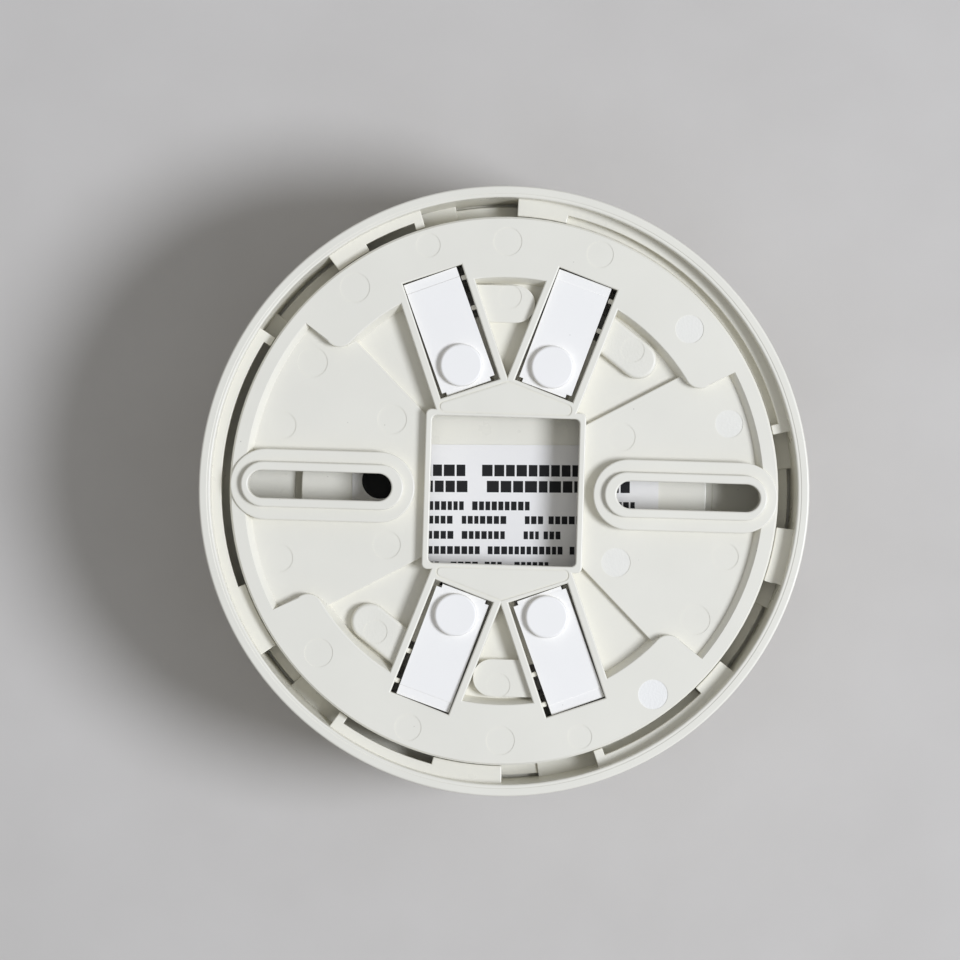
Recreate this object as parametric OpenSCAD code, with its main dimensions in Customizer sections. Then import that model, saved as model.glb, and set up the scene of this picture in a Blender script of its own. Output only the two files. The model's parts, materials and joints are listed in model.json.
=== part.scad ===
// Round fixed-temperature heat detector: twist-on head with its bayonet mounting base.
// The origin is the centre of the mounting plane, on the lips of the fixing slots. +Z points into
// the ceiling, so the body hangs below z = 0. Depths are measured down from the boss tops, which
// lie lip_height below the mounting plane.

/* [Mounting base] */
// Outer diameter of the base ring
base_d = 89.9; // [89.5:0.1:90]
// Width of the rim of the base ring at its top
ring_w = 2.35; // [2:0.05:2.6]
// Depth of the ring, lands and walls below the boss tops
land_depth = 0.4; // [0.3:0.1:0.6]
// Depth from the boss tops to the floor of the side sectors
side_floor_depth = 2.2; // [1.9:0.1:2.4]
// Depth from the boss tops to the floor around the terminals
wedge_floor_depth = 3.4; // [3.2:0.1:3.5]
// Depth from the boss tops to the underside of the floor
base_t = 5; // [4.9:0.1:5.1]
// Depth from the boss tops to the lower edge of the skirt
skirt_depth = 8.2; // [7.6:0.1:8.6]
// Inner radius of the two raised arc lands
land_r = 35; // [34.5:0.1:35.5]
// Width of the square cable window
window_w = 24.2; // [22:0.1:24.4]

/* [Fixing slots] */
// Distance between the centres of the two slots
slot_spacing = 60.4; // [60:0.1:60.8]
// Width of each slot, for an M4 screw
slot_w = 4.5; // [4.2:0.1:4.8]
// Length of each slot, end to end
slot_l = 23.5; // [22:0.5:23.5]
// Height of the lip around each slot, above the boss it stands on
lip_height = 1; // [0.6:0.1:1.4]

/* [Terminals] */
// Width of a terminal pocket
pocket_w = 10.2; // [10:0.1:10.4]
// Length of a terminal pocket
pocket_l = 19.8; // [19.6:0.1:20]
// Tilt of each pocket away from the Y axis
pocket_tilt = 20; // [19.5:0.5:20.5]
// Radius of a terminal screw
terminal_screw_r = 1.5; // [1.3:0.1:1.5]

/* [Head] */
// Outer diameter of the head
head_d = 100; // [99.5:0.5:101]
// Gap between the rim's top edge and the mounting plane
rim_gap = 0.15; // [0.1:0.05:1]
// Depth of the bayonet flange below the boss tops
flange_depth = 2.2; // [2.2:0.1:2.6]
// Depth of the flat front face below the boss tops
front_depth = 34; // [33:0.5:36]
// Depth of the heat collector's tip below the boss tops
total_depth = 38; // [37.5:0.5:40]
// Diameter of the rear cover
cover_d = 66.8; // [66.4:0.1:67]
// Depth of the rear cover's outer face below the boss tops
cover_depth = 7.65; // [7.55:0.05:7.8]

/* [Bayonet] */
// Angle of one lug
lug_angle = 7.2; // [6:0.1:7.4]
// Length of one bayonet opening, as an angle
opening_angle = 19.4; // [19:0.1:19.4]

/* [Hidden] */
$fn = 96;
eps = 0.01;

base_r = base_d / 2;
head_r = head_d / 2;
cover_r = cover_d / 2;
window_frame_w = 1.05;
boss_r = 5.8;
boss_l = 30.3;
lip_r = 3.72;
lip_l = 26.7;
lip_x = 29.8;
land_start = 28.9;
land_end = 141.4;
tab_depth = 1.7;
tab_r = 3.05;

// Each opening in the bayonet flange: start angle, angle of the solid flange before it,
// angle of the tongue in it
OPENINGS = [
    [88.9, 10.4, 12.4], [128.5, 7.6, 15.1], [215.7, 14.2, 8.4],
    [271.2, 14.4, 7.5], [323.5, 7.6, 14.2], [354.1, 11.4, 12.1]
];
rib_angle = 2;
// Pads that keep the skirt of the base central: start angle, end angle, depth of the top
GUIDE_PADS = [[13.8, 79, 4.3], [291, 315.6, 6]];
flange_t = 2.2;
flange_r = 46.35;
hook_r = 45.1;
lug_r = 46.6;
lug_gap = 0.3;
lug_t = 2;
wall_top_r = 47.95;
rim_top = lip_height - rim_gap;
rim_round = 0.35;
wall_low_r = 47.2;
deck_depth = 9.5;
deck_t = 1.8;
ledge_r = 31.5;
shell_t = 2;

pocket_x = 9.43;
pocket_y = 25.87;
// Each terminal: x of the pocket's centre, tilt, turn of the pair about Z
TERMINALS = [
    [pocket_x, -pocket_tilt, 0], [-pocket_x, pocket_tilt, 0],
    [pocket_x, -pocket_tilt, 180], [-pocket_x, pocket_tilt, 180]
];
pocket_wall = 1.3;
pocket_run_on = 0.35;
rail_w = 1;
block_top_depth = 1.2;
block_bottom_depth = 3.6;
block_x = -4.55;
block_w = 9.15;
block_turn = 1.2;
button_r = 3.5;
screw_at = [-0.15, -5.75];
plate_t = 0.8;
washer_t = 0.7;
screw_head_h = 1.9;
blade_angle = 69.9;
blade_w = 3;
blade_t = 0.6;
rivet_at = 28.1;

pillar_at = 25;
PILLARS = [30, 150, 270];
board_depth = 15.2;
board_t = 1.6;
board_r = 30.5;
well_r = 13.2;
sleeve_r = 13;
sleeve_in_r = 12;
nut_t = 1.6;
led_at = 26;

pin_r = 1.2;
pin_tip_depth = 24.8;
leaf_depth = 24.4;
leaf_t = 0.3;
leaf_pivot_x = -10;
contact_x = 4;
contact_r = 1.2;
contact_h = 1.1;
contact_gap = 0.95;
block_screw_at = [-17.5, 3.2];

ivory = "#e4e4da";
white = "#f4f4f6";
nickel = "#c9c6bd";
brass_tone = "#c9a85c";

// ---- shared shapes ----

// Lowers a sub-part so that the tops of the lips, not of the bosses, are the mounting plane
module below_lips() {
    translate([0, 0, -lip_height]) children();
}

// Layer between two depths below the boss tops
module layer(top, bottom) {
    translate([0, 0, -bottom]) linear_extrude(bottom - top) children();
}

// Part of a ring between two radii and two angles less than 180 degrees apart
module arc_band(r_in, r_out, a_start, a_end) {
    steps = ceil((a_end - a_start) / 30);
    intersection() {
        difference() {
            circle(r_out, $fn = 180);
            circle(r_in, $fn = 180);
        }
        polygon(concat([[0, 0]], [for (i = [0:steps])
            let (a = a_start + (a_end - a_start) * i / steps) 1.3 * r_out * [cos(a), sin(a)]]));
    }
}

// Slot-shaped outline along X, given its overall length
module obround(len, r) {
    square([len - 2 * r, 2 * r], center = true);
    for (s = [-1, 1]) translate([s * (len / 2 - r), 0]) circle(r);
}

// Tab with one round end, from one point to the centre of the round end
module round_tab(from, to, r) {
    span = to - from;
    translate(from) rotate(atan2(span[1], span[0])) {
        translate([0, -r]) square([norm(span), 2 * r]);
        translate([norm(span), 0]) circle(r);
    }
}

module square_with_round_corners(w, l, r) {
    square([w, l - 2 * r], center = true);
    square([w - 2 * r, l], center = true);
    for (x = [-1, 1], y = [-1, 1]) translate([x * (w / 2 - r), y * (l / 2 - r)]) circle(r, $fn = 32);
}

// Children in the frame of one terminal pocket: local X across it, local Y outwards along it
module at_terminal(i) {
    t = TERMINALS[i];
    rotate(t[2]) translate([t[0], pocket_y, 0]) rotate(t[1]) children();
}

// Flat pan head with a cross recess, its underside on the children's z = 0 and its top facing -Z
module cross_head(r, h) {
    difference() {
        translate([0, 0, -h]) cylinder(r = r, h = h);
        for (a = [0, 90]) rotate(a)
            translate([-r * 0.62, -r * 0.12, -h - eps]) cube([r * 1.24, r * 0.24, h * 0.55]);
    }
}

// ---- mounting base ----

module base_floor() {
    layer(wedge_floor_depth, base_t) circle(base_r, $fn = 180);
    // side sectors, one step higher than the floor around the terminals
    for (turn = [0, 180]) rotate(turn) layer(side_floor_depth, wedge_floor_depth + eps)
        intersection() {
            circle(base_r - 1, $fn = 180);
            polygon([[11, -10.1], [55, -53.8], [60, 0], [55, 34.4], [11, 10.1]]);
        }
}

module base_ring() {
    rotate_extrude($fn = 180) polygon([
        [base_r - ring_w, -land_depth], [base_r - 0.3, -land_depth], [base_r, -land_depth - 0.3],
        [base_r, -skirt_depth],
        [base_r - 1.75, -skirt_depth], [base_r - 1.75, -base_t + eps], [base_r - ring_w - 1, -base_t + eps],
        [base_r - ring_w - 1, -side_floor_depth], [base_r - ring_w - 0.75, -land_depth - 1.1],
        [base_r - ring_w - 0.3, -land_depth - 0.35]
    ]);
}

// Raised arc whose two inner corners are round; the corner discs stand a hair proud of both edges they join
module arc_land() {
    corner = 2.6;
    inset = corner - 0.03;
    corner_at = land_r + inset;
    turn_in = asin(inset / corner_at);
    arc_band(corner_at - 0.05, base_r - 1, land_start, land_end);
    arc_band(land_r, corner_at, land_start + turn_in, land_end - turn_in);
    for (a = [land_start + turn_in, land_end - turn_in])
        rotate(a) translate([corner_at, 0]) circle(corner);
}

// Raised features, all rooted inside the floor so that the floor alone makes the underside
module base_walls() {
    root = base_t - 0.6;
    for (turn = [0, 180]) rotate(turn) {
        layer(land_depth, root) arc_land();
        // triangular land between the window and the two pockets
        layer(land_depth, root)
            polygon([[-11.3, 12.8], [11.3, 12.8], [11.2, 13.8], [1, 18.6], [-1, 18.6], [-11.2, 13.8]]);
        layer(tab_depth, root) round_tab([-8, 30.7], [1.15, 30.7], tab_r);
        layer(tab_depth, root) round_tab([15, 27], [21.4, 22.1], tab_r);
    }
    frame_w = window_w + 2 * window_frame_w;
    layer(land_depth, root) square_with_round_corners(frame_w, frame_w, 0.9);
    // the pocket walls run on into the window frame
    for (i = [0:3]) at_terminal(i) layer(land_depth, root) translate([0, -pocket_run_on / 2])
        square([pocket_w + 2 * pocket_wall, pocket_l + 2 * pocket_wall + pocket_run_on], center = true);
    for (s = [-1, 1]) {
        translate([s * (lip_x - 0.04), 0]) layer(0, root) obround(boss_l, boss_r);
        translate([s * lip_x, 0]) layer(-lip_height, root) obround(lip_l, lip_r);
    }
}

module base_lugs() {
    lug_top = flange_depth + flange_t + lug_gap;
    for (o = OPENINGS) layer(lug_top, lug_top + lug_t)
        arc_band(base_r - 1, lug_r, o[0] - lug_angle - 0.2, o[0] - 0.2);
}

module mounting_base() color(ivory) {
    difference() {
        union() {
            base_floor();
            base_ring();
            base_walls();
            base_lugs();
        }
        layer(-1, base_t + 1) square_with_round_corners(window_w, window_w, 0.8);
        for (i = [0:3]) at_terminal(i) {
            layer(-1, block_bottom_depth) square([pocket_w, pocket_l], center = true);
            // below the rails' top only the middle and the outer half stay open
            layer(block_bottom_depth - eps, base_t + 1)
                square([pocket_w - 2 * rail_w, pocket_l], center = true);
            layer(block_bottom_depth - eps, base_t + 1)
                translate([-pocket_w / 2, 1]) square([pocket_w, pocket_l / 2 - 1]);
        }
        for (s = [-1, 1]) translate([s * slot_spacing / 2, 0, -base_t - 1]) {
            straight = slot_l - slot_w;
            cut_h = base_t + lip_height + 2;
            for (e = [-1, 1]) translate([e * straight / 2, 0, 0]) cylinder(r = slot_w / 2, h = cut_h);
            translate([-straight / 2, -slot_w / 2, 0]) cube([straight, slot_w, cut_h]);
        }
    }
    // snap nubs on the pocket walls
    for (i = [0:3]) at_terminal(i) for (y = [2.2, 7.4])
        translate([pocket_w / 2 - 0.75, y, -block_bottom_depth]) cube([0.85, 0.8, 1.8]);
}

// ---- terminals, in the base ----

// The block sits a little turned about its screw, as the pocket is wider than the block
module terminal_block(i) color(white) at_terminal(i) translate([screw_at[0], screw_at[1], 0])
    rotate(block_turn) difference() {
        union() {
            layer(block_top_depth, block_bottom_depth) translate([block_x, -3.35]) square([block_w, 17.2]);
            layer(block_top_depth + 0.12, block_bottom_depth)
                translate([block_x, 13.75]) square([block_w, 1.75]);
            layer(block_top_depth + 0.05, block_bottom_depth) translate([-3.85, -4]) square([7.6, 1]);
            translate([0, 0, -block_top_depth - eps])
                cylinder(r = button_r, h = block_top_depth - 0.05 + eps);
        }
        translate([0, 0, -block_bottom_depth - 1])
            cylinder(r = terminal_screw_r + 0.05, h = 1 + block_bottom_depth - 1.3);
    }

module terminal_plate(i) color(nickel) at_terminal(i) difference() {
    top = -block_bottom_depth;
    rotate([90, 0, 90]) {
        translate([0, 0, -3.9]) linear_extrude(7.8)
            polygon([[-9, top], [1.5, top], [1.5, top - plate_t], [-9, top - plate_t]]);
        // spring leaf that presses on the head's blade
        translate([0, 0, -3.5]) linear_extrude(7) polygon([
            [1.4, top], [2, top], [5, top - 1.75], [8.6, top - 0.9],
            [8.6, top - 1.45], [5, top - 2.35], [1.4, top - plate_t]
        ]);
    }
    translate([screw_at[0], screw_at[1], top - 2]) cylinder(r = terminal_screw_r + 0.1, h = 3);
}

module clamp_washers() color(nickel) for (i = [0:3]) at_terminal(i)
    translate([screw_at[0], screw_at[1], -block_bottom_depth - plate_t - washer_t]) difference() {
        translate([-3.3, -3.3, 0]) cube([6.6, 6.6, washer_t]);
        translate([0, 0, -1]) cylinder(r = terminal_screw_r + 0.1, h = washer_t + 2);
    }

module terminal_screws() color(nickel) for (i = [0:3]) at_terminal(i)
    translate([screw_at[0], screw_at[1], -block_bottom_depth - plate_t - washer_t]) {
        cross_head(3, screw_head_h);
        translate([0, 0, -eps]) cylinder(r = terminal_screw_r, h = 3.6);
    }

// ---- head ----

module housing_shell() {
    rotate_extrude($fn = 180) polygon([
        // rim, from its inner foot over the top and down the outside
        [wall_top_r + 0.05, -1.9], [wall_top_r + 0.15, rim_top - 0.4], [wall_top_r + 0.25, rim_top - 0.2],
        [wall_top_r + 0.73, rim_top - 0.1], [wall_top_r + 0.81, rim_top],
        for (a = [0:22.5:90])
            [head_r - rim_round + rim_round * sin(a), rim_top - rim_round + rim_round * cos(a)],
        [head_r, -13], [head_r - 0.3, -14.8], [head_r - 1.1, -16.4], [head_r - 2.4, -17.8],
        [head_r - 4.2, -18.9],
        [head_r - 10.5, -20.6], [head_r - 12.2, -21.4], [head_r - 13.2, -22.8],
        [head_r - 15.6, -front_depth + 4.6], [head_r - 16.3, -front_depth + 2.6],
        [head_r - 17.6, -front_depth + 1],
        [head_r - 19.4, -front_depth + 0.2], [head_r - 21, -front_depth],
        // front opening for the collector, then back along the inside
        [well_r, -front_depth], [well_r, -front_depth + shell_t], [head_r - 21.2, -front_depth + shell_t],
        [head_r - 19.1, -front_depth + shell_t + 1.4], [head_r - 17.6, -front_depth + 4.9],
        [head_r - 15.2, -22.2], [head_r - 13.4, -19.4], [head_r - 11, -18.5], [head_r - 4.9, -16.9],
        [head_r - 2.9, -15.2], [head_r - 2.3, -12.6], [wall_low_r, -deck_depth - deck_t],
        // deck around the rear cover, with the ledge that the cover lies on
        [ledge_r, -deck_depth - deck_t], [ledge_r, -cover_depth - shell_t],
        [cover_r + 1, -cover_depth - shell_t],
        [cover_r + 1, -deck_depth], [wall_low_r, -deck_depth]
    ]);
}

module bayonet_flange() {
    under = flange_depth + flange_t;
    last = len(OPENINGS) - 1;
    for (i = [0:last]) {
        o = OPENINGS[i];
        next_start = i < last ? OPENINGS[i + 1][0] : OPENINGS[0][0] + 360;
        layer(flange_depth, under) {
            arc_band(flange_r, head_r - 1.4, o[0] + opening_angle, next_start);
            arc_band(hook_r, flange_r + 0.2, o[0] - o[1], o[0]);
            arc_band(hook_r, flange_r + 0.2, o[0] + opening_angle, o[0] + opening_angle + rib_angle);
        }
        // tongue and stop block on the deck, below the path of the lugs
        layer(7.6, deck_depth + 0.5) arc_band(hook_r, 46.8, o[0] - 1, o[0] + o[2] + 0.1);
        layer(7.1, deck_depth + 0.5) arc_band(hook_r, head_r - 1.8, o[0] + o[2], o[0] + opening_angle + 0.5);
    }
    for (p = GUIDE_PADS) layer(p[2], deck_depth + 0.5) arc_band(hook_r, 46.8, p[0], p[1]);
}

module pillar(r, top, bottom, hole_r, hole_depth) {
    difference() {
        translate([0, 0, -bottom]) cylinder(r = r, h = bottom - top);
        translate([0, 0, -top - hole_depth]) cylinder(r = hole_r, h = hole_depth + 1);
    }
}

module head_housing() color(ivory) {
    floor_depth = front_depth - shell_t;
    difference() {
        union() {
            housing_shell();
            bayonet_flange();
        }
        translate([0, 0, -front_depth - eps]) rotate_extrude($fn = 120)
            translate([14.6, 0]) square([1.8, 0.7]);
        translate([led_at, 0, -front_depth - 1]) cylinder(r = 1.65, h = shell_t + 2);
    }
    for (a = PILLARS) rotate(a) translate([pillar_at, 0, 0]) {
        pillar(3.2, board_depth + board_t, floor_depth + 0.5, 0.5, 1);
        pillar(2.2, cover_depth + shell_t, board_depth + board_t + 0.2, 1.1, 6);
    }
    for (s = [-1, 1]) translate([block_screw_at[0], s * block_screw_at[1], 0])
        pillar(2.2, 29, floor_depth + 0.5, 1, 3);
}

module rear_cover() color(ivory) difference() {
    layer(cover_depth, cover_depth + shell_t) circle(cover_r, $fn = 180);
    for (a = PILLARS) rotate(a) translate([pillar_at, 0, -cover_depth - shell_t - 1]) {
        cylinder(r = 1.3, h = shell_t + 2);
        translate([0, 0, shell_t]) cylinder(r = 2.6, h = 2);
    }
    for (i = [0:3]) at_blade(i) {
        translate([rivet_at, 0, -cover_depth - shell_t - 1]) cylinder(r = 0.8, h = shell_t + 2);
        translate([25.8, -blade_w / 2 - 0.2, -cover_depth - shell_t - 1])
            cube([1, blade_w + 0.4, shell_t + 2]);
    }
}

module rating_label() color("white") rotate(1.4) layer(cover_depth - 0.15, cover_depth)
    translate([0.25, -5.9]) square_with_round_corners(50.5, 27, 1);

module cover_screws() color(nickel) for (a = PILLARS) rotate(a) translate([pillar_at, 0, -cover_depth - 1]) {
    rotate([180, 0, 0]) cross_head(2.4, 0.9);
    translate([0, 0, -6.2]) cylinder(r = 1.05, h = 6.3);
}

// Children in the frame of one contact blade: local X outwards along the blade
module at_blade(i) {
    rotate([blade_angle, 180 - blade_angle, 180 + blade_angle, 360 - blade_angle][i]) children();
}

module contact_blade(i) color(brass_tone) at_blade(i) difference() {
    foot = -cover_depth;
    tail = -board_depth - board_t - 0.6;
    pad = foot + 1.55;
    rotate([90, 0, 0]) translate([0, 0, -blade_w / 2]) linear_extrude(blade_w) polygon([
        [26, tail], [26 + blade_t, tail], [26 + blade_t, foot], [30.2, foot], [30.2, pad - blade_t],
        [33.2, pad - blade_t], [33.2, pad], [30.2 - blade_t, pad], [30.2 - blade_t, foot + blade_t],
        [26, foot + blade_t]
    ]);
    translate([rivet_at, 0, foot - 1]) cylinder(r = 0.8, h = 2.2);
}

module blade_rivets() color(brass_tone) for (i = [0:3]) at_blade(i) translate([rivet_at, 0, -cover_depth]) {
    translate([0, 0, -shell_t - 0.2]) cylinder(r = 0.75, h = shell_t + blade_t + 0.4);
    translate([0, 0, blade_t]) cylinder(r = 1.4, h = 0.5);
    translate([0, 0, -shell_t - 0.6]) cylinder(r = 1.3, h = 0.6);
}

module circuit_board() color("#2f6b46") difference() {
    layer(board_depth, board_depth + board_t) circle(board_r, $fn = 180);
    for (a = PILLARS) rotate(a)
        translate([pillar_at, 0, -board_depth - board_t - 1]) cylinder(r = 2.3, h = board_t + 2);
    for (i = [0:3]) at_blade(i)
        translate([25.8, -blade_w / 2 - 0.2, -board_depth - board_t - 1])
            cube([1, blade_w + 0.4, board_t + 2]);
    translate([-21.8, -2, -board_depth - board_t - 1]) cube([1.5, 4, board_t + 2]);
}

// ---- sensing element ----

module heat_collector() color("silver") rotate_extrude($fn = 120) polygon([
    [0, -total_depth], [8.4, -total_depth], [10.6, -total_depth + 0.25], [12.1, -total_depth + 0.9],
    [13.1, -total_depth + 1.9], [13.5, -total_depth + 2.8], [13.6, -front_depth - 0.9],
    [17, -front_depth - 0.8], [17.2, -front_depth - 0.5], [17.2, -front_depth],
    [sleeve_r, -front_depth], [sleeve_r, -front_depth + shell_t + nut_t],
    [sleeve_in_r, -front_depth + shell_t + nut_t],
    [sleeve_in_r, -total_depth + 2.4], [11.8, -total_depth + 0.8], [0, -total_depth + 0.8]
]);

module collector_seal() color("#303030") translate([0, 0, -front_depth]) rotate_extrude($fn = 120)
    translate([14.7, 0]) square([1.6, 0.65]);

module collector_nut() color("silver") translate([0, 0, -front_depth + shell_t]) difference() {
    cylinder(r = 15, h = nut_t);
    translate([0, 0, -1]) cylinder(r = sleeve_r + 0.05, h = nut_t + 2);
}

module bimetal_disc() color(brass_tone) translate([0, 0, -total_depth + 0.8])
    rotate_extrude($fn = 120) polygon([
        [0, 0.5], [4, 0.44], [8, 0.24], [11.6, 0], [11.6, 0.25], [8, 0.54], [4, 0.74], [0, 0.8]
    ]);

module disc_seat() color("#8a5a34") translate([0, 0, -total_depth + 1.25]) difference() {
    cylinder(r = sleeve_in_r - 0.3, h = 3.55);
    translate([0, 0, -1]) cylinder(r = 10.2, h = 6);
}

module pin_guide() color("#ded6c4") translate([0, 0, -total_depth + 4.8]) difference() {
    union() {
        cylinder(r = sleeve_in_r - 0.1, h = 1.4);
        cylinder(r = 3.4, h = 7);
    }
    translate([0, 0, -1]) cylinder(r = pin_r + 0.05, h = 9);
}

module push_pin() color("#f0ece0") {
    tail_depth = total_depth - 1.65;
    translate([0, 0, -tail_depth]) cylinder(r = pin_r, h = tail_depth - pin_tip_depth - 0.6);
    translate([0, 0, -pin_tip_depth - 0.65]) cylinder(r = 0.6, h = 0.65);
}

// ---- contact pile ----

module contact_block() color("#5b4636") difference() {
    translate([-20.5, -6, -29]) cube([10.2, 12, 8.6]);
    for (s = [-1, 1]) translate([block_screw_at[0], s * block_screw_at[1], -30]) cylinder(r = 1.1, h = 12);
    // slots for the two contact strips
    translate([-21, -1.85, -leaf_depth - leaf_t - 0.05]) cube([12, 3.7, leaf_t + 0.1]);
    translate([-21, -1.85, -leaf_depth + 2 * contact_h + contact_gap - 0.05]) cube([12, 3.7, leaf_t + 0.1]);
}

module block_screws() color(nickel) for (s = [-1, 1])
    translate([block_screw_at[0], s * block_screw_at[1], -20.4]) {
        rotate([180, 0, 0]) cross_head(1.9, 1.2);
        translate([0, 0, -11]) cylinder(r = 0.95, h = 11 + eps);
    }

// Contact strip along X from its outer end, with a tail up through the board
module strip_with_tail(x_start, x_end, z, y_tail) {
    translate([x_start, -1.75, z]) cube([x_end - x_start, 3.5, leaf_t]);
    translate([x_start, y_tail - 0.75, z]) cube([leaf_t, 1.5, -board_depth - z + 0.6]);
}

module leaf_terminal() color(brass_tone)
    strip_with_tail(-21.5, leaf_pivot_x - 0.25, -leaf_depth - leaf_t, -1);

module moving_leaf() color(brass_tone) difference() {
    union() {
        translate([leaf_pivot_x, -1.75, -leaf_depth - leaf_t])
            cube([contact_x + 1.8 - leaf_pivot_x, 3.5, leaf_t]);
        // round root, on the axis that the leaf bends about
        translate([leaf_pivot_x, 1.75, -leaf_depth - leaf_t / 2]) rotate([90, 0, 0])
            cylinder(r = leaf_t / 2, h = 3.5);
    }
    translate([contact_x, 0, -leaf_depth - 1]) cylinder(r = 0.5, h = 2);
}

module moving_contact() color("#dcdcdc") translate([contact_x, 0, -leaf_depth]) {
    cylinder(r = contact_r, h = contact_h);
    translate([0, 0, -leaf_t - 0.15]) cylinder(r = 0.45, h = 0.5 + leaf_t);
}

module fixed_leaf() color(brass_tone)
    strip_with_tail(-20.9, contact_x + 1.8, -leaf_depth + 2 * contact_h + contact_gap, 1);

module fixed_contact() color("#dcdcdc")
    translate([contact_x, 0, -leaf_depth + contact_h + contact_gap]) cylinder(r = contact_r, h = contact_h);

// ---- board parts ----

module indicator_led() color("red") translate([led_at, 0, -board_depth - board_t]) {
    translate([0, 0, -1]) cylinder(r = 1.9, h = 1);
    translate([0, 0, -4.2]) cylinder(r = 1.5, h = 4.2);
    translate([0, 0, -4.2]) sphere(r = 1.5, $fn = 48);
}

module led_lens() color("#d84040") translate([led_at, 0, 0]) {
    translate([0, 0, -front_depth - 0.1]) cylinder(r = 1.6, h = front_depth - board_depth - board_t - 6);
    translate([0, 0, -front_depth + shell_t]) cylinder(r = 2.2, h = 1);
}

// Axial part lying under the board along X, with its two leads up to the board
module axial_part(body_r, body_l, lead_span) {
    translate([0, 0, -board_depth - board_t - body_r - 0.3]) {
        rotate([0, 90, 0]) cylinder(r = body_r, h = body_l, center = true);
        rotate([0, 90, 0]) cylinder(r = 0.3, h = lead_span, center = true);
        for (s = [-1, 1]) translate([s * lead_span / 2, 0, -0.3]) cylinder(r = 0.3, h = body_r + 0.6);
    }
}

module resistors() color("#c8b48a") for (y = [12, 16.5]) translate([3, y, 0]) axial_part(1.2, 6.3, 10);

module diode() color("#202020") translate([3, -14, 0]) axial_part(1.35, 5.2, 10);

below_lips() mounting_base();
below_lips() terminal_block(0);  // terminal_block_1
below_lips() terminal_block(1);  // terminal_block_2
below_lips() terminal_block(2);  // terminal_block_3
below_lips() terminal_block(3);  // terminal_block_4
below_lips() terminal_plate(0);  // terminal_plate_1
below_lips() terminal_plate(1);  // terminal_plate_2
below_lips() terminal_plate(2);  // terminal_plate_3
below_lips() terminal_plate(3);  // terminal_plate_4
below_lips() terminal_screws();
below_lips() clamp_washers();
below_lips() head_housing();
below_lips() rear_cover();
below_lips() rating_label();
below_lips() cover_screws();
below_lips() contact_blade(0);  // contact_blade_1
below_lips() contact_blade(1);  // contact_blade_2
below_lips() contact_blade(2);  // contact_blade_3
below_lips() contact_blade(3);  // contact_blade_4
below_lips() blade_rivets();
below_lips() circuit_board();
below_lips() heat_collector();
below_lips() collector_seal();
below_lips() collector_nut();
below_lips() bimetal_disc();
below_lips() disc_seat();
below_lips() pin_guide();
below_lips() push_pin();
below_lips() contact_block();
below_lips() block_screws();
below_lips() leaf_terminal();
below_lips() moving_leaf();
below_lips() moving_contact();
below_lips() fixed_leaf();
below_lips() fixed_contact();
below_lips() indicator_led();
below_lips() led_lens();
below_lips() resistors();
below_lips() diode();
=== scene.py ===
import json
import math
import random

import bmesh
import bpy
from mathutils import Matrix, Vector


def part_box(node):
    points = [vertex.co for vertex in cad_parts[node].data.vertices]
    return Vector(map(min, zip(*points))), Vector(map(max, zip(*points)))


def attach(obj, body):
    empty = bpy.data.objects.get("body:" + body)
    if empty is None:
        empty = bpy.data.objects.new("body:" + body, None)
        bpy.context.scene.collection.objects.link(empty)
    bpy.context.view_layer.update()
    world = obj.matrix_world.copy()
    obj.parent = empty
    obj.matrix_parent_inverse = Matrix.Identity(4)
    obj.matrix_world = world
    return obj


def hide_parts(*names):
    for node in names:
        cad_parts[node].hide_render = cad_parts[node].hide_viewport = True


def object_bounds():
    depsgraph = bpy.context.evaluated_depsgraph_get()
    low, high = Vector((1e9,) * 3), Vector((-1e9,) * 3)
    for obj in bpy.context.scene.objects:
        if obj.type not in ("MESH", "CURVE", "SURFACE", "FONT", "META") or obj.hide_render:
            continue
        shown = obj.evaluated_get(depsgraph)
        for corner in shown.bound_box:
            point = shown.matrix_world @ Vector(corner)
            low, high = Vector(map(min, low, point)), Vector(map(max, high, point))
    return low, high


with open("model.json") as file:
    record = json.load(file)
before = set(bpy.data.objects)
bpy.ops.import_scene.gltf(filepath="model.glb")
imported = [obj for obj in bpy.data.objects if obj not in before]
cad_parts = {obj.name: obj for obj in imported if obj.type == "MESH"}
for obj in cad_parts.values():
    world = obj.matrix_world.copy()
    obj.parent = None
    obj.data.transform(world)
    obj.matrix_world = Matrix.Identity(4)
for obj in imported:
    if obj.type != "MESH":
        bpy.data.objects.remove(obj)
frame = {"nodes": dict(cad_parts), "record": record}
CAD_BOX = [list(v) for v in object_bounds()]
NODES = frame["nodes"]
MM = 0.001
RNG = random.Random(7)
WELD = 0.003 * MM
FLAT_WITHIN = math.radians(0.5)
SAME_SURFACE = math.radians(40)
SHORTEST_EDGE = 0.08 * MM
LEVEL = 0.999


# ---------------------------------------------------------------- meshes

def link(name, bm):
    """A new object made from bm, smooth shaded apart from its sharp edges."""
    mesh = bpy.data.meshes.new(name)
    bmesh.ops.recalc_face_normals(bm, faces=bm.faces)
    bm.to_mesh(mesh)
    bm.free()
    mesh.shade_smooth()
    mesh.set_sharp_from_angle(angle=SAME_SURFACE)
    obj = bpy.data.objects.new(name, mesh)
    bpy.context.scene.collection.objects.link(obj)
    return obj


def flatten(bm):
    """Makes the flat faces whole."""
    bmesh.ops.dissolve_limit(bm, angle_limit=FLAT_WITHIN, verts=bm.verts, edges=bm.edges)


def node_bmesh(node):
    """The CAD node's own shape, welded, with its flat faces made whole."""
    bm = bmesh.new()
    bm.from_mesh(NODES[node].data)
    bmesh.ops.remove_doubles(bm, verts=bm.verts, dist=WELD)
    flatten(bm)
    bmesh.ops.recalc_face_normals(bm, faces=bm.faces)
    return bm


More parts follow.
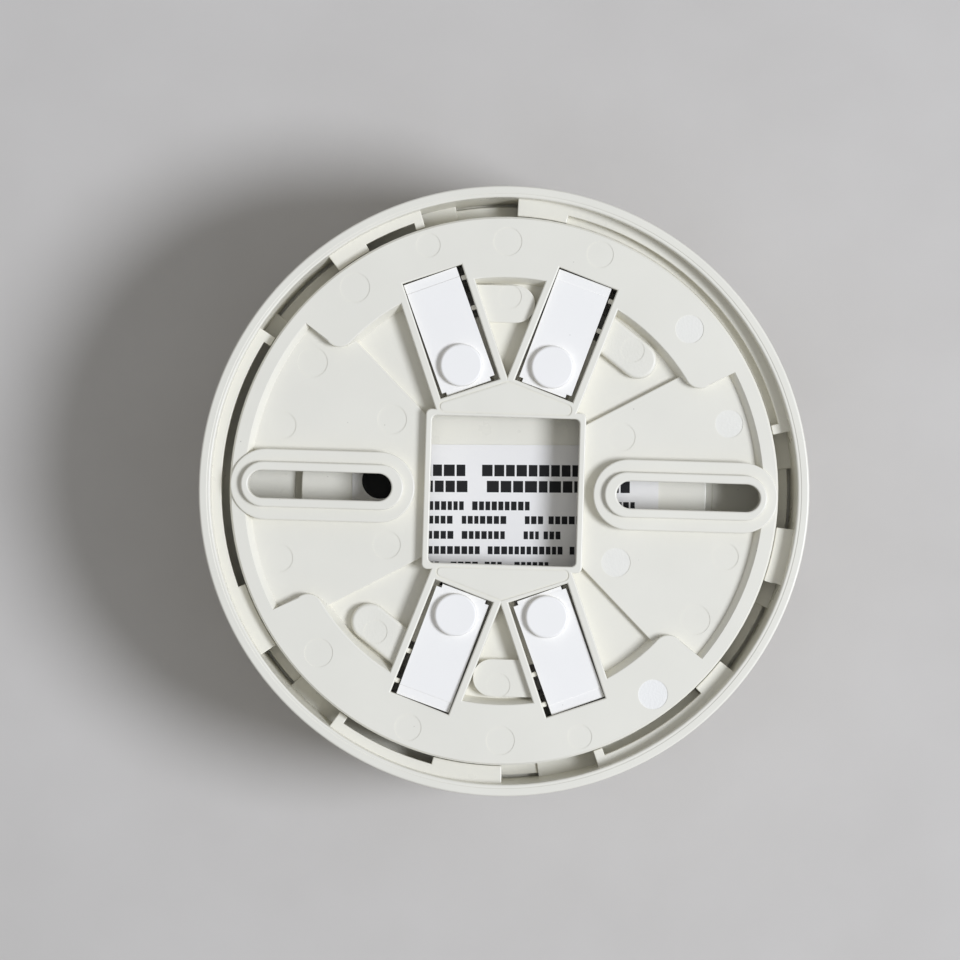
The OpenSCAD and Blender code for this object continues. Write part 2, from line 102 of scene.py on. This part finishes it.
def chains(edges):
    """The edges in groups that touch each other, in a fixed order."""
    left, groups = set(edges), []
    for first in edges:
        if first in left:
            left.discard(first)
            chain, front = [], [first]
            while front:
                edge = front.pop()
                chain.append(edge)
                near = {e for v in edge.verts for e in v.link_edges} & left
                left -= near
                front += near
            groups.append(sorted(chain, key=lambda e: e.index))
    return groups


def soften(bm, width, by_height):
    """Rounds the sharp convex edges of bm, chain by chain.

    width is in millimetres. by_height gives another width to the chains whose top is at a given height.
    """
    sharp = math.radians(50)
    bm.edges.index_update()
    tiny = {v for e in bm.edges if e.calc_length() < SHORTEST_EDGE for v in e.verts}
    edges = [
        e for e in bm.edges
        if e.is_manifold and e.is_convex and e.calc_face_angle(0) > sharp and not tiny.intersection(e.verts)
    ]
    for chain in chains(edges):
        top = max(v.co.z for e in chain for v in e.verts) / MM
        chain_width = next((w for z, w in by_height.items() if abs(z - top) < 0.05), width)
        bmesh.ops.bevel(
            bm, geom=chain, offset=chain_width * MM, offset_type="OFFSET", segments=3, profile=0.5,
            affect="EDGES", clamp_overlap=True, miter_outer="ARC", miter_inner="SHARP",
        )
    return bm


def refine(
    node, name, material, body, width=0.2, by_height=None, shape=None, added=None, carving=None,
):
    """A finer piece that stands for a CAD node.

    It has the node's shape, or the one given, with rounded edges. added is joined to it and carving is cut out.
    """
    piece = link(name, soften(shape or node_bmesh(node), width, by_height or {}))
    if added:
        combine(piece, added, "UNION")
    if carving:
        combine(piece, carving, "DIFFERENCE")
    even_shading(piece.data)
    piece.data.materials.append(material)
    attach(piece, body)
    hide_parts(node)
    return piece


def combine(obj, other_bm, operation):
    """Adds the closed shapes in other_bm to obj's mesh, or cuts them out of it."""
    other = link("other", other_bm)
    step = obj.modifiers.new("combine", "BOOLEAN")
    step.operation = operation
    step.solver = "MANIFOLD"
    step.object = other
    bpy.context.view_layer.update()
    done = bpy.data.meshes.new_from_object(obj.evaluated_get(bpy.context.evaluated_depsgraph_get()))
    obj.modifiers.remove(step)
    bpy.data.objects.remove(other)
    bm = bmesh.new()
    bm.from_mesh(done)
    flatten(bm)
    for face in bm.faces:
        face.material_index = 0
    bm.to_mesh(obj.data)
    bm.free()
    bpy.data.meshes.remove(done)


def even_shading(mesh):
    """Shades level faces flat, and rounded edges as a smooth change from one broad face to the next."""
    around = [[] for _ in mesh.vertices]
    for face in mesh.polygons:
        for v in face.vertices:
            around[v].append(face)
    least = math.cos(SAME_SURFACE)
    normals = []
    for face in mesh.polygons:
        own = face.normal.copy()
        for v in face.vertices:
            normal = own
            if abs(own.z) < LEVEL:
                near = [f for f in around[v] if f.normal.dot(own) > least]
                level = [f for f in near if abs(f.normal.z) > LEVEL]
                total = sum(((f.normal * f.area ** 2) for f in level or near), Vector())
                normal = total.normalized() if total.length > 0 else own
            normals.append(normal)
    mesh.shade_smooth()
    mesh.normals_split_custom_set(normals)


# ---------------------------------------------------------------- outlines and prisms, in millimetres

def arc_points(centre, radius, start, end, steps):
    return [
        (centre[0] + radius * math.cos(a), centre[1] + radius * math.sin(a))
        for a in (start + (end - start) * k / steps for k in range(steps + 1))
    ]


def rounded_loop(centres, radius, steps=8):
    """Outline that runs round discs of one radius at the centres, which are in anticlockwise order."""
    points = []
    for k, c in enumerate(centres):
        before, after = centres[k - 1], centres[(k + 1) % len(centres)]
        start = math.atan2(c[1] - before[1], c[0] - before[0]) - math.pi / 2
        end = math.atan2(after[1] - c[1], after[0] - c[0]) - math.pi / 2
        points += arc_points(c, radius, start, start + (end - start) % math.tau, steps)
    return points


def ring_of(bm, outline, z):
    """New vertices along an outline at height z."""
    return [bm.verts.new((x * MM, y * MM, z * MM)) for x, y in outline]


def walls(bm, low, high):
    """The faces between two closed rows of vertices."""
    n = len(low)
    for k in range(n):
        bm.faces.new((low[k], low[(k + 1) % n], high[(k + 1) % n], high[k]))


def add_prism(bm, outline, z_low, z_high):
    """Closed prism on an outline."""
    low, high = ring_of(bm, outline, z_low), ring_of(bm, outline, z_high)
    walls(bm, low, high)
    bm.faces.new(low[::-1])
    bm.faces.new(high)


def add_groove(bm, centres, radius, width, z_low, z_high):
    """Closed ring prism along a rounded outline."""
    loops = [
        ring_of(bm, rounded_loop(centres, r), z)
        for r, z in (
            (radius - width / 2, z_low), (radius + width / 2, z_low),
            (radius + width / 2, z_high), (radius - width / 2, z_high),
        )
    ]
    for k in range(4):
        walls(bm, loops[k], loops[(k + 1) % 4])


# ---------------------------------------------------------------- materials

NOISE_RANGE = (0.3, 0.7)
SPECK_CELLS = 230
SPECK_COLOUR = (0.16, 0.14, 0.11, 1)


def new_material(name):
    mat = bpy.data.materials.new(name)
    mat.use_nodes = True
    nodes = mat.node_tree.nodes
    links = mat.node_tree.links
    shader = nodes["Principled BSDF"]
    coords = nodes.new("ShaderNodeTexCoord")
    return mat, nodes, links, shader, coords.outputs["Object"]


def noise(nodes, links, coords, scale, detail=2.0):
    n = nodes.new("ShaderNodeTexNoise")
    n.inputs["Scale"].default_value = scale
    n.inputs["Detail"].default_value = detail
    n.inputs["Roughness"].default_value = 0.5
    links.new(coords, n.inputs["Vector"])
    return n.outputs["Fac"]


def ramp(nodes, links, fac, low, high):
    """Colour from low to high over the middle of a noise value's range."""
    r = nodes.new("ShaderNodeValToRGB")
    for element, position, colour in zip(r.color_ramp.elements, NOISE_RANGE, (low, high)):
        element.position = position
        element.color = colour
    links.new(fac, r.inputs["Fac"])
    return r.outputs["Color"]


def spread(nodes, links, fac, low, high, start=NOISE_RANGE[0], end=NOISE_RANGE[1]):
    """Value from low to high while fac goes from start to end."""
    m = nodes.new("ShaderNodeMapRange")
    m.inputs["From Min"].default_value = start
    m.inputs["From Max"].default_value = end
    m.inputs["To Min"].default_value = low
    m.inputs["To Max"].default_value = high
    links.new(fac, m.inputs["Value"])
    return m.outputs["Result"]


def bump(nodes, links, height, distance_mm, strength=1.0, under=None):
    b = nodes.new("ShaderNodeBump")
    b.inputs["Strength"].default_value = strength
    b.inputs["Distance"].default_value = distance_mm * MM
    links.new(height, b.inputs["Height"])
    if under is not None:
        links.new(under, b.inputs["Normal"])
    return b.outputs["Normal"]


def shade(rgb, k):
    return tuple(c * k for c in rgb) + (1.0,)


def plastic(name, rgb, rough=(0.3, 0.42), grain=0.004, mottling=0.02, specular=0.5, speck=0.0):
    """Moulded plastic: faint mottling, uneven gloss, fine grain, a slow waviness and a few dust specks."""
    mat, nodes, links, shader, co = new_material(name)
    mottle = noise(nodes, links, co, 60, 4)
    colour = ramp(nodes, links, mottle, shade(rgb, 1 - mottling), shade(rgb, 1 + mottling))
    if speck:
        cells = nodes.new("ShaderNodeTexVoronoi")
        cells.inputs["Scale"].default_value = SPECK_CELLS
        links.new(co, cells.inputs["Vector"])
        mix = nodes.new("ShaderNodeMix")
        mix.data_type = "RGBA"
        links.new(
            spread(nodes, links, cells.outputs["Distance"], speck, 0.0, 0.012, 0.03), mix.inputs["Factor"]
        )
        links.new(colour, mix.inputs["A"])
        mix.inputs["B"].default_value = SPECK_COLOUR
        colour = mix.outputs["Result"]
    links.new(colour, shader.inputs["Base Color"])
    links.new(spread(nodes, links, noise(nodes, links, co, 220, 3), *rough), shader.inputs["Roughness"])
    wavy = bump(nodes, links, noise(nodes, links, co, 90, 1), 0.05, 0.35)
    fine = noise(nodes, links, co, 2600, 2)
    links.new(bump(nodes, links, fine, grain, 1.0, wavy), shader.inputs["Normal"])
    shader.inputs["IOR"].default_value = 1.5
    shader.inputs["Specular IOR Level"].default_value = specular
    return mat


def metal(name, rgb, rough=(0.22, 0.38), streak=(900, 900, 60)):
    """Plated or spun metal: fine streaks, uneven gloss and slight tarnish."""
    mat, nodes, links, shader, co = new_material(name)
    stretch = nodes.new("ShaderNodeMapping")
    stretch.inputs["Scale"].default_value = streak
    links.new(co, stretch.inputs["Vector"])
    lines = noise(nodes, links, stretch.outputs["Vector"], 1.0, 3)
    links.new(
        ramp(nodes, links, noise(nodes, links, co, 150, 4), shade(rgb, 0.82), shade(rgb, 1.05)),
        shader.inputs["Base Color"],
    )
    links.new(spread(nodes, links, lines, *rough), shader.inputs["Roughness"])
    links.new(bump(nodes, links, lines, 0.004), shader.inputs["Normal"])
    shader.inputs["Metallic"].default_value = 1.0
    return mat


IVORY_RGB = (0.80, 0.775, 0.675)
IVORY = plastic("ivory_moulding", IVORY_RGB, speck=0.5)
SHELL = plastic("head_moulding", IVORY_RGB, (0.26, 0.36), speck=0.35)
FROST = plastic("frosted_mark", (0.815, 0.795, 0.715), (0.35, 0.7), 0.03, 0.02)
BRIGHT_FROST = plastic("bright_frosted_mark", (0.86, 0.845, 0.79), (0.4, 0.8), 0.05, 0.03)
COARSE = plastic("coarse_moulding", IVORY_RGB, (0.3, 0.6), 0.03)
WHITE = plastic("nylon_white", (0.90, 0.88, 0.83), (0.42, 0.55), 0.006, 0.01, 0.4, 0.3)
LABEL = plastic("label_stock", (0.83, 0.81, 0.77), (0.5, 0.62), 0.002, 0.01, 0.35)
INK = plastic("black_ink", (0.01, 0.01, 0.01), (0.5, 0.6), 0.002, 0.1, 0.2)
NICKEL = metal("nickel_plate", (0.72, 0.70, 0.66))
ZINC = metal("zinc_plate", (0.66, 0.67, 0.68), (0.28, 0.45), (500, 500, 500))
BRASS = metal("brass_strip", (0.80, 0.62, 0.32))
ALU = metal("spun_aluminium", (0.82, 0.83, 0.84), (0.24, 0.36), (60, 60, 60))
COPPER = metal("bimetal_strip", (0.70, 0.56, 0.40))
SILVER = metal("silver_rivet", (0.86, 0.86, 0.85))
RUBBER = plastic("black_rubber", (0.03, 0.03, 0.032), (0.6, 0.8), 0.01, 0.1, 0.3)
PHENOLIC = plastic("brown_phenolic", (0.20, 0.11, 0.06), (0.35, 0.5), 0.006, 0.08)
CERAMIC = plastic("white_ceramic", (0.74, 0.71, 0.64), (0.4, 0.6), 0.008, 0.03)
BOARD = plastic("board_green", (0.03, 0.16, 0.07), (0.3, 0.45), 0.003, 0.12)
RESISTOR = plastic("resistor_tan", (0.55, 0.42, 0.25), (0.35, 0.5), 0.004, 0.05)
DIODE = plastic("diode_black", (0.02, 0.02, 0.022), (0.3, 0.4), 0.003, 0.1)


def lens_material(name, rgb):
    """Clear tinted resin."""
    mat, nodes, links, shader, co = new_material(name)
    links.new(
        ramp(nodes, links, noise(nodes, links, co, 400, 2), shade(rgb, 0.9), shade(rgb, 1.1)),
        shader.inputs["Base Color"],
    )
    links.new(spread(nodes, links, noise(nodes, links, co, 600, 2), 0.08, 0.16), shader.inputs["Roughness"])
    shader.inputs["Transmission Weight"].default_value = 0.6
    shader.inputs["IOR"].default_value = 1.5
    return mat


LENS = lens_material("lens_resin", (0.62, 0.02, 0.02))
LED = lens_material("led_resin", (0.7, 0.05, 0.04))

BY_SLOT = {
    "ivory_abs": IVORY, "head_abs": SHELL, "white_nylon": WHITE, "plated_brass": NICKEL, "zinc_steel": ZINC,
    "label": LABEL, "contact_brass": BRASS, "board": BOARD, "collector_alu": ALU, "seal_rubber": RUBBER,
    "bimetal": COPPER, "phenolic": PHENOLIC, "ceramic": CERAMIC, "silver_contact": SILVER,
    "led_red": LED, "lens_red": LENS, "resistor_body": RESISTOR, "diode_body": DIODE,
}
for sub in frame["record"]["subparts"]:
    NODES[sub["node"]].data.materials.clear()
    NODES[sub["node"]].data.materials.append(BY_SLOT[sub["material_slot"]])


# ---------------------------------------------------------------- the moulded pieces

# heights of the faces below the mounting plane, in millimetres
LIP_TOP = 0
BOSS_TOP = -1
LAND_TOP = -1.4
SIDE_FLOOR = -3.2
TAB_TOP = -2.7
BUTTON_TOP = -1.05
RIM_TOP = -0.15
WEDGE_FLOOR = -4.4
# the narrow ledge inside the head's rim
LEDGE_R = 48.2
LEDGE_LIFT = 0.065
# how deep the marks go, and how far their cutters stand above the face
MARK_DEPTH = 0.08
ABOVE = 0.3

# sloped feet of the arc lands: start and end angle, and whether the slope thins out at each end
SLOPES = [(31.6, 60.4, True, False), (79.6, 100.4, False, False), (119.6, 138.8, False, True)]
SLOPE_R = 35.02
SLOPE_RUN = 1.0
SLOPE_TOP = -1.75
SLOPE_RUN_OUT = 2.6
SLOPE_INSIDE = 0.4
SLOPE_UNDER = 0.1
# marks that the ejector pins left: centre, radius and the height of the face
# each has a twin half a turn away
EJECTOR_MARKS = [
    ((-13.6, 39.9), 2.0, LAND_TOP), ((-0.6, 40.9), 2.35, LAND_TOP), ((14.6, 39.2), 2.2, LAND_TOP),
    ((-25.4, 32.6), 2.45, LAND_TOP), ((29.6, 27.4), 2.35, LAND_TOP),
    ((-32, 20.2), 2.45, SIDE_FLOOR), ((-36.6, 9.7), 2.2, SIDE_FLOOR), ((-18.7, 11.2), 2.4, SIDE_FLOOR),
    ((-19, -9.4), 2.3, SIDE_FLOOR), ((-36.6, -12.1), 2.3, SIDE_FLOOR),
    ((0, 31.9), 1.95, TAB_TOP), ((20.4, 23.7), 1.95, TAB_TOP),
]
# the marks that are frosted, the last one the most: centre and radius
FROSTED = [((29.6, 27.4), 2.35), ((36.6, 12.1), 2.3), ((18.7, -11.2), 2.4), ((25.4, -32.6), 2.45)]
# centres of the corners of the fine groove on each triangular land
GROOVE_CORNERS = [(-10.1, 13.55), (9.8, 13.55), (0.05, 17.05)]
GROOVE_R = 0.85
GROOVE_W = 0.28
GROOVE_DEPTH = 0.15
# centres of the two tabs with a coarser surface
COARSE_TABS = [(19.5, 23.5), (-19.5, -23.5)]
COARSE_R = 6


def turned(point, half_turn):
    return (-point[0], -point[1]) if half_turn else point


def land_slopes():
    """The sloped feet of the inner walls of the two arc lands."""
    bottom = WEDGE_FLOOR - SLOPE_UNDER
    outer = SLOPE_R + SLOPE_INSIDE
    bm = bmesh.new()
    for half_turn in (0, 180):
        for start, end, thin_start, thin_end in SLOPES:
            steps = round(end - start)
            sections = []
            for k in range(steps + 1):
                angle = start + (end - start) * k / steps
                thin = min(
                    (angle - start) / SLOPE_RUN_OUT if thin_start else 1,
                    (end - angle) / SLOPE_RUN_OUT if thin_end else 1, 1,
                )
                inner = SLOPE_R - 0.02 - SLOPE_RUN * thin
                a = math.radians(angle + half_turn)
                sections.append([
                    bm.verts.new((r * math.cos(a) * MM, r * math.sin(a) * MM, z * MM))
                    for r, z in (
                        (SLOPE_R, SLOPE_TOP), (inner, bottom), (outer, bottom), (outer, SLOPE_TOP),
                    )
                ])
            for low, high in zip(sections, sections[1:]):
                walls(bm, low, high)
            bm.faces.new(sections[0][::-1])
            bm.faces.new(sections[-1])
    return bm


def base_marks():
    """Shallow discs and fine grooves to cut into the base."""
    bm = bmesh.new()
    for half_turn in (False, True):
        for centre, radius, top in EJECTOR_MARKS:
            outline = arc_points(turned(centre, half_turn), radius, 0, math.tau, 48)[:-1]
            add_prism(bm, outline, top - MARK_DEPTH, top + ABOVE)
        corners = [turned(c, half_turn) for c in GROOVE_CORNERS]
        add_groove(bm, corners, GROOVE_R, GROOVE_W, LAND_TOP - GROOVE_DEPTH, LAND_TOP + ABOVE)
    return bm


def mark_faces(piece):
    """Gives the frosted marks and the two coarse tabs their own materials."""
    frosts = [FROST] * (len(FROSTED) - 1) + [BRIGHT_FROST]
    places = [(c, r + 0.1, LAND_TOP + 0.01, frost) for (c, r), frost in zip(FROSTED, frosts)]
    places += [(c, COARSE_R, TAB_TOP + 0.01, COARSE) for c in COARSE_TABS]
    for centre, radius, top, material in places:
        slot = piece.data.materials.find(material.name)
        if slot < 0:
            piece.data.materials.append(material)
            slot = len(piece.data.materials) - 1
        for face in piece.data.polygons:
            corners = [piece.data.vertices[v].co / MM for v in face.vertices]
            if face.normal.z > 0.1 and all(
                math.hypot(v.x - centre[0], v.y - centre[1]) < radius and v.z < top for v in corners
            ):
                face.material_index = slot


def eased_housing():
    """The head's shape, with the narrow ledge inside its rim nearly level."""
    bm = node_bmesh("head_housing")
    for v in bm.verts:
        near_top = v.co.z / MM > RIM_TOP - 0.3
        if near_top and abs(math.hypot(v.co.x, v.co.y) / MM - LEDGE_R) < 0.05:
            v.co.z += LEDGE_LIFT * MM
    return bm


base = refine(
    "mounting_base", "base_moulding", IVORY, "base",
    by_height={LIP_TOP: 0.3, BOSS_TOP: 0.25, LAND_TOP: 0.25, TAB_TOP: 0.6}, added=land_slopes(),
    carving=base_marks(),
)
mark_faces(base)
refine(
    "head_housing", "head_moulding", SHELL, "head",
    by_height={RIM_TOP: 0.03}, shape=eased_housing(),
)
refine("rear_cover", "cover_moulding", SHELL, "head", 0.25)
for i in range(1, 5):
    refine(
        f"terminal_block_{i}", f"terminal_insert_{i}", WHITE, "base",
        by_height={BUTTON_TOP: 0.4},
    )


# ---------------------------------------------------------------- print on the rating label

LABEL_TURN = math.radians(1.4)
INK_T = 0.015
# the plain disc in place of the mark
DISC_CENTRE = (-20.4, 1.6)
DISC_R = 3
# each row of the label: its lower and upper edge, then the start and end of each plain bar in it
PRINT_ROWS = [
    (2.4, 4.3, [(-13.6, -5.6), (-3.6, 13.9)]),
    (-0.25, 1.65, [(-13.6, -4.9), (-2.8, 21)]),
    (-3.2, -1.75, [(-13.6, -6.1), (-5.2, 4.3), (17.5, 21.6)]),
    (-5.45, -4.15, [(-13.6, -7.8), (-6.9, 0.7), (3.5, 6.5), (7.4, 12.6)]),
    (-7.95, -6.65, [(-13.6, -7.8), (-6.9, 0.6), (3.3, 5.8), (6.6, 9.9)]),
    (-10.45, -9.15, [(-13.6, -3.6), (-2.6, 10.1), (10.9, 16)]),
    (-13.1, -11.7, [(-13.6, -10.3), (-8.7, -4.2), (-3.1, 0), (1.8, 7.4)]),
    (-15.6, -14.2, [(-13.6, -5), (-4, 3), (4.2, 12)]),
]
# length of one block of a bar and the gap after it, for rows taller and lower than TALL_ROW
TALL_ROW = 1.5
WIDE_PRINT = (1.75, 0.3)
NARROW_PRINT = (0.85, 0.25)


def label_print():
    """Plain bars of short blocks in place of the words, and a plain disc in place of the mark."""
    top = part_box("rating_label")[1][2] / MM
    bm = bmesh.new()
    for low, high, bars in PRINT_ROWS:
        block, gap = WIDE_PRINT if high - low > TALL_ROW else NARROW_PRINT
        for start, end in bars:
            x = start
            while x + block * 0.5 < end:
                stop = min(x + block * RNG.uniform(0.8, 1.15), end)
                add_prism(bm, [(x, low), (stop, low), (stop, high), (x, high)], top, top + INK_T)
                x = stop + gap
    add_prism(bm, arc_points(DISC_CENTRE, DISC_R, 0, math.tau, 40)[:-1], top, top + INK_T)
    bmesh.ops.rotate(bm, verts=bm.verts, matrix=Matrix.Rotation(LABEL_TURN, 3, "Z"))
    piece = link("label_print", bm)
    piece.data.materials.append(INK)
    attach(piece, "head")


label_print()


# ---------------------------------------------------------------- stage, light and camera

FLOOR_R = 3.0
FLOOR_GAP = 0.2 * MM
FLOOR_DARK = (0.56, 0.535, 0.495, 1)
FLOOR_LIGHT = (0.59, 0.565, 0.525, 1)


def floor_material():
    mat, nodes, links, shader, co = new_material("floor_paper")
    links.new(
        ramp(nodes, links, noise(nodes, links, co, 40, 5), FLOOR_DARK, FLOOR_LIGHT),
        shader.inputs["Base Color"],
    )
    shader.inputs["Roughness"].default_value = 0.9
    shader.inputs["Specular IOR Level"].default_value = 0.15
    return mat


floor_bm = bmesh.new()
bmesh.ops.create_circle(floor_bm, cap_ends=True, radius=FLOOR_R, segments=96)
bmesh.ops.translate(floor_bm, verts=floor_bm.verts, vec=(0, 0, CAD_BOX[0][2] - FLOOR_GAP))
floor = link("floor", floor_bm)
floor.data.materials.append(floor_material())


# the one soft lamp: where it stands, how wide and how strong it is
LAMP_AZIMUTH = math.radians(-6.8)
LAMP_ELEVATION = math.radians(50.5)
LAMP_DISTANCE = 1.6
LAMP_WIDTH = 0.56
LAMP_WATTS = 20.5
LAMP_COLOUR = (0.955, 1.0, 1.12)
SKY_COLOUR = (0.95, 0.97, 1.02, 1)
SKY_STRENGTH = 0.38

lamp_data = bpy.data.lights.new("key", "AREA")
lamp_data.shape = "DISK"
lamp_data.size = LAMP_WIDTH
lamp_data.energy = LAMP_WATTS
lamp_data.color = LAMP_COLOUR
lamp = bpy.data.objects.new("key", lamp_data)
bpy.context.scene.collection.objects.link(lamp)
towards_lamp = Vector((
    math.cos(LAMP_AZIMUTH) * math.cos(LAMP_ELEVATION),
    math.sin(LAMP_AZIMUTH) * math.cos(LAMP_ELEVATION),
    math.sin(LAMP_ELEVATION),
))
lamp.location = towards_lamp * LAMP_DISTANCE
lamp.rotation_mode = "QUATERNION"
lamp.rotation_quaternion = towards_lamp.to_track_quat("Z", "Y")

world = bpy.data.worlds.new("studio")
world.use_nodes = True
background = world.node_tree.nodes["Background"]
background.inputs["Color"].default_value = SKY_COLOUR
background.inputs["Strength"].default_value = SKY_STRENGTH
bpy.context.scene.world = world

# the camera looks straight down: width of the picture at the mounting plane, roll, distance and aim
FRAME_MM = 157.1
ROLL = math.radians(1.7)
CAM_DISTANCE = 1.1
AIM_MM = (-3.93, 1.8, 0)
SENSOR = 36
camera_data = bpy.data.cameras.new("camera")
camera_data.sensor_width = SENSOR
camera_data.lens = SENSOR * CAM_DISTANCE / (FRAME_MM * MM)
camera = bpy.data.objects.new("camera", camera_data)
bpy.context.scene.collection.objects.link(camera)
aim = Matrix.Rotation(ROLL, 3, "Z") @ Vector(AIM_MM) * MM
camera.location = aim + Vector((0, 0, CAM_DISTANCE))
camera.rotation_euler = (0, 0, ROLL)
camera_data.clip_start = 0.05
camera_data.clip_end = 20
bpy.context.scene.camera = camera
bpy.context.scene.view_settings.view_transform = "Standard"

bpy.context.view_layer.update()
